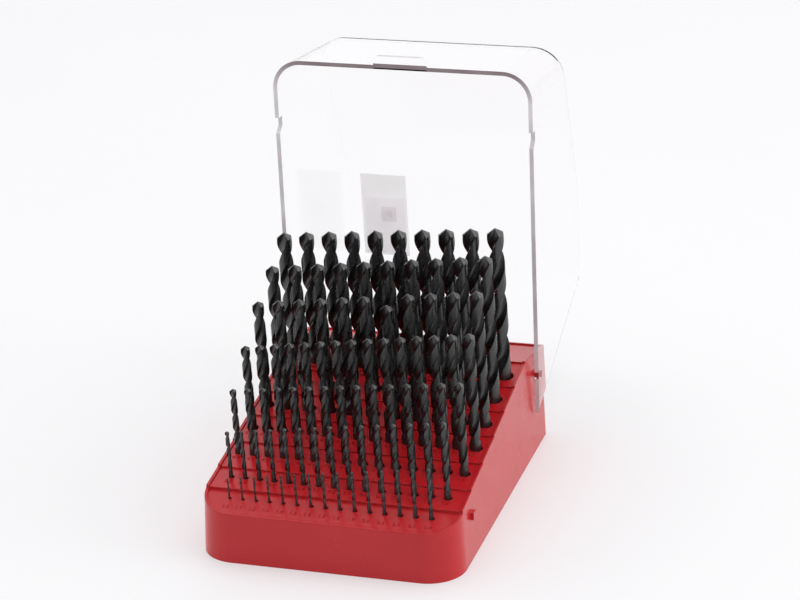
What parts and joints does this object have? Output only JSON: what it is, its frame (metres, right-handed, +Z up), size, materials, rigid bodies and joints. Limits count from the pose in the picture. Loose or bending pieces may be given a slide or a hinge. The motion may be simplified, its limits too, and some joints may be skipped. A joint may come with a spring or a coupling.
{
  "type": "drill bit case",
  "caption": "Drill bit case: a stepped moulded base holds graded twist drills upright in blind sockets, and a clear hinged lid stands open behind them.",
  "frame": {"origin": "centre of the base's underside, on the face that rests on the table", "axes": "+Z up, -Y towards the front of the case, +X to the right seen from the front"},
  "size_m": [0.1608, 0.3141, 0.2511],
  "materials": {
    "case_red": "glossy moulded",
    "lid_clear": "clear, glossy",
    "label_paper": "printed, satin",
    "drill_steel": "black oxide, ground edges"
  },
  "bodies": {
    "base": {"base": "case_red"},
    "lid": {"lid": "lid_clear", "label": "label_paper"},
    "drill_10p0": {"drill_10p0": "drill_steel"},
    "drill_7p0": {"drill_7p0": "drill_steel"},
    "drill_7p1": {"drill_7p1": "drill_steel"},
    "drill_7p2": {"drill_7p2": "drill_steel"},
    "drill_7p3": {"drill_7p3": "drill_steel"},
    "drill_7p4": {"drill_7p4": "drill_steel"},
    "drill_7p5": {"drill_7p5": "drill_steel"},
    "drill_7p6": {"drill_7p6": "drill_steel"},
    "drill_7p7": {"drill_7p7": "drill_steel"},
    "drill_7p8": {"drill_7p8": "drill_steel"},
    "drill_7p9": {"drill_7p9": "drill_steel"},
    "drill_8p0": {"drill_8p0": "drill_steel"},
    "drill_8p1": {"drill_8p1": "drill_steel"},
    "drill_8p2": {"drill_8p2": "drill_steel"},
    "drill_8p3": {"drill_8p3": "drill_steel"},
    "drill_8p4": {"drill_8p4": "drill_steel"},
    "drill_8p5": {"drill_8p5": "drill_steel"},
    "drill_8p6": {"drill_8p6": "drill_steel"},
    "drill_8p7": {"drill_8p7": "drill_steel"},
    "drill_8p8": {"drill_8p8": "drill_steel"},
    "drill_8p9": {"drill_8p9": "drill_steel"},
    "drill_9p0": {"drill_9p0": "drill_steel"},
    "drill_9p1": {"drill_9p1": "drill_steel"},
    "drill_9p2": {"drill_9p2": "drill_steel"},
    "drill_9p3": {"drill_9p3": "drill_steel"},
    "drill_9p4": {"drill_9p4": "drill_steel"},
    "drill_9p5": {"drill_9p5": "drill_steel"},
    "drill_9p6": {"drill_9p6": "drill_steel"},
    "drill_9p7": {"drill_9p7": "drill_steel"},
    "drill_9p8": {"drill_9p8": "drill_steel"},
    "drill_9p9": {"drill_9p9": "drill_steel"},
    "drills_1p0_to_1p4": {"drills_1p0_to_1p4": "drill_steel"},
    "drills_1p5_to_1p9": {"drills_1p5_to_1p9": "drill_steel"},
    "drills_2p0_to_2p4": {"drills_2p0_to_2p4": "drill_steel"},
    "drills_2p5_to_2p9": {"drills_2p5_to_2p9": "drill_steel"},
    "drills_3p0_to_3p4": {"drills_3p0_to_3p4": "drill_steel"},
    "drills_3p5_to_3p9": {"drills_3p5_to_3p9": "drill_steel"},
    "drills_4p0_to_4p4": {"drills_4p0_to_4p4": "drill_steel"},
    "drills_4p5_to_4p9": {"drills_4p5_to_4p9": "drill_steel"},
    "drills_5p0_to_5p4": {"drills_5p0_to_5p4": "drill_steel"},
    "drills_5p5_to_5p9": {"drills_5p5_to_5p9": "drill_steel"},
    "drills_6p0_to_6p4": {"drills_6p0_to_6p4": "drill_steel"},
    "drills_6p5_to_6p9": {"drills_6p5_to_6p9": "drill_steel"}
  },
  "joints": [
    {"name": "lid_hinge", "type": "hinge", "parent": "base", "child": "lid", "pos_m": [0, 0.08545, 0.04895], "axis": [-1, 0, 0], "range_deg": [-94.3, 0]},
    {"name": "drill_10p0_slide", "type": "slide", "parent": "base", "child": "drill_10p0", "axis": [-0.0349, 0, 0.9994], "range_m": [0, 0.045]},
    {"name": "drill_7p0_slide", "type": "slide", "parent": "base", "child": "drill_7p0", "axis": [-0.0349, 0, 0.9994], "range_m": [0, 0.036]},
    {"name": "drill_7p1_slide", "type": "slide", "parent": "base", "child": "drill_7p1", "axis": [-0.0349, 0, 0.9994], "range_m": [0, 0.036]},
    {"name": "drill_7p2_slide", "type": "slide", "parent": "base", "child": "drill_7p2", "axis": [-0.0349, 0, 0.9994], "range_m": [0, 0.036]},
    {"name": "drill_7p3_slide", "type": "slide", "parent": "base", "child": "drill_7p3", "axis": [-0.0349, 0, 0.9994], "range_m": [0, 0.036]},
    {"name": "drill_7p4_slide", "type": "slide", "parent": "base", "child": "drill_7p4", "axis": [-0.0349, 0, 0.9994], "range_m": [0, 0.036]},
    {"name": "drill_7p5_slide", "type": "slide", "parent": "base", "child": "drill_7p5", "axis": [-0.0349, 0, 0.9994], "range_m": [0, 0.036]},
    {"name": "drill_7p6_slide", "type": "slide", "parent": "base", "child": "drill_7p6", "axis": [-0.0349, 0, 0.9994], "range_m": [0, 0.036]},
    {"name": "drill_7p7_slide", "type": "slide", "parent": "base", "child": "drill_7p7", "axis": [-0.0349, 0, 0.9994], "range_m": [0, 0.036]},
    {"name": "drill_7p8_slide", "type": "slide", "parent": "base", "child": "drill_7p8", "axis": [-0.0349, 0, 0.9994], "range_m": [0, 0.036]},
    {"name": "drill_7p9_slide", "type": "slide", "parent": "base", "child": "drill_7p9", "axis": [-0.0349, 0, 0.9994], "range_m": [0, 0.036]},
    {"name": "drill_8p0_slide", "type": "slide", "parent": "base", "child": "drill_8p0", "axis": [-0.0349, 0, 0.9994], "range_m": [0, 0.036]},
    {"name": "drill_8p1_slide", "type": "slide", "parent": "base", "child": "drill_8p1", "axis": [-0.0349, 0, 0.9994], "range_m": [0, 0.04]},
    {"name": "drill_8p2_slide", "type": "slide", "parent": "base", "child": "drill_8p2", "axis": [-0.0349, 0, 0.9994], "range_m": [0, 0.04]},
    {"name": "drill_8p3_slide", "type": "slide", "parent": "base", "child": "drill_8p3", "axis": [-0.0349, 0, 0.9994], "range_m": [0, 0.04]},
    {"name": "drill_8p4_slide", "type": "slide", "parent": "base", "child": "drill_8p4", "axis": [-0.0349, 0, 0.9994], "range_m": [0, 0.04]},
    {"name": "drill_8p5_slide", "type": "slide", "parent": "base", "child": "drill_8p5", "axis": [-0.0349, 0, 0.9994], "range_m": [0, 0.04]},
    {"name": "drill_8p6_slide", "type": "slide", "parent": "base", "child": "drill_8p6", "axis": [-0.0349, 0, 0.9994], "range_m": [0, 0.04]},
    {"name": "drill_8p7_slide", "type": "slide", "parent": "base", "child": "drill_8p7", "axis": [-0.0349, 0, 0.9994], "range_m": [0, 0.04]},
    {"name": "drill_8p8_slide", "type": "slide", "parent": "base", "child": "drill_8p8", "axis": [-0.0349, 0, 0.9994], "range_m": [0, 0.04]},
    {"name": "drill_8p9_slide", "type": "slide", "parent": "base", "child": "drill_8p9", "axis": [-0.0349, 0, 0.9994], "range_m": [0, 0.04]},
    {"name": "drill_9p0_slide", "type": "slide", "parent": "base", "child": "drill_9p0", "axis": [-0.0349, 0, 0.9994], "range_m": [0, 0.04]},
    {"name": "drill_9p1_slide", "type": "slide", "parent": "base", "child": "drill_9p1", "axis": [-0.0349, 0, 0.9994], "range_m": [0, 0.045]},
    {"name": "drill_9p2_slide", "type": "slide", "parent": "base", "child": "drill_9p2", "axis": [-0.0349, 0, 0.9994], "range_m": [0, 0.045]},
    {"name": "drill_9p3_slide", "type": "slide", "parent": "base", "child": "drill_9p3", "axis": [-0.0349, 0, 0.9994], "range_m": [0, 0.045]},
    {"name": "drill_9p4_slide", "type": "slide", "parent": "base", "child": "drill_9p4", "axis": [-0.0349, 0, 0.9994], "range_m": [0, 0.045]},
    {"name": "drill_9p5_slide", "type": "slide", "parent": "base", "child": "drill_9p5", "axis": [-0.0349, 0, 0.9994], "range_m": [0, 0.045]},
    {"name": "drill_9p6_slide", "type": "slide", "parent": "base", "child": "drill_9p6", "axis": [-0.0349, 0, 0.9994], "range_m": [0, 0.045]},
    {"name": "drill_9p7_slide", "type": "slide", "parent": "base", "child": "drill_9p7", "axis": [-0.0349, 0, 0.9994], "range_m": [0, 0.045]},
    {"name": "drill_9p8_slide", "type": "slide", "parent": "base", "child": "drill_9p8", "axis": [-0.0349, 0, 0.9994], "range_m": [0, 0.045]},
    {"name": "drill_9p9_slide", "type": "slide", "parent": "base", "child": "drill_9p9", "axis": [-0.0349, 0, 0.9994], "range_m": [0, 0.045]},
    {"name": "drills_1p0_to_1p4_slide", "type": "slide", "parent": "base", "child": "drills_1p0_to_1p4", "axis": [-0.0349, 0, 0.9994], "range_m": [0, 0.024]},
    {"name": "drills_1p5_to_1p9_slide", "type": "slide", "parent": "base", "child": "drills_1p5_to_1p9", "axis": [-0.0349, 0, 0.9994], "range_m": [0, 0.024]},
    {"name": "drills_2p0_to_2p4_slide", "type": "slide", "parent": "base", "child": "drills_2p0_to_2p4", "axis": [-0.0349, 0, 0.9994], "range_m": [0, 0.024]},
    {"name": "drills_2p5_to_2p9_slide", "type": "slide", "parent": "base", "child": "drills_2p5_to_2p9", "axis": [-0.0349, 0, 0.9994], "range_m": [0, 0.025]},
    {"name": "drills_3p0_to_3p4_slide", "type": "slide", "parent": "base", "child": "drills_3p0_to_3p4", "axis": [-0.0349, 0, 0.9994], "range_m": [0, 0.025]},
    {"name": "drills_3p5_to_3p9_slide", "type": "slide", "parent": "base", "child": "drills_3p5_to_3p9", "axis": [-0.0349, 0, 0.9994], "range_m": [0, 0.025]},
    {"name": "drills_4p0_to_4p4_slide", "type": "slide", "parent": "base", "child": "drills_4p0_to_4p4", "axis": [-0.0349, 0, 0.9994], "range_m": [0, 0.031]},
    {"name": "drills_4p5_to_4p9_slide", "type": "slide", "parent": "base", "child": "drills_4p5_to_4p9", "axis": [-0.0349, 0, 0.9994], "range_m": [0, 0.031]},
    {"name": "drills_5p0_to_5p4_slide", "type": "slide", "parent": "base", "child": "drills_5p0_to_5p4", "axis": [-0.0349, 0, 0.9994], "range_m": [0, 0.031]},
    {"name": "drills_5p5_to_5p9_slide", "type": "slide", "parent": "base", "child": "drills_5p5_to_5p9", "axis": [-0.0349, 0, 0.9994], "range_m": [0, 0.034]},
    {"name": "drills_6p0_to_6p4_slide", "type": "slide", "parent": "base", "child": "drills_6p0_to_6p4", "axis": [-0.0349, 0, 0.9994], "range_m": [0, 0.034]},
    {"name": "drills_6p5_to_6p9_slide", "type": "slide", "parent": "base", "child": "drills_6p5_to_6p9", "axis": [-0.0349, 0, 0.9994], "range_m": [0, 0.034]}
  ]
}
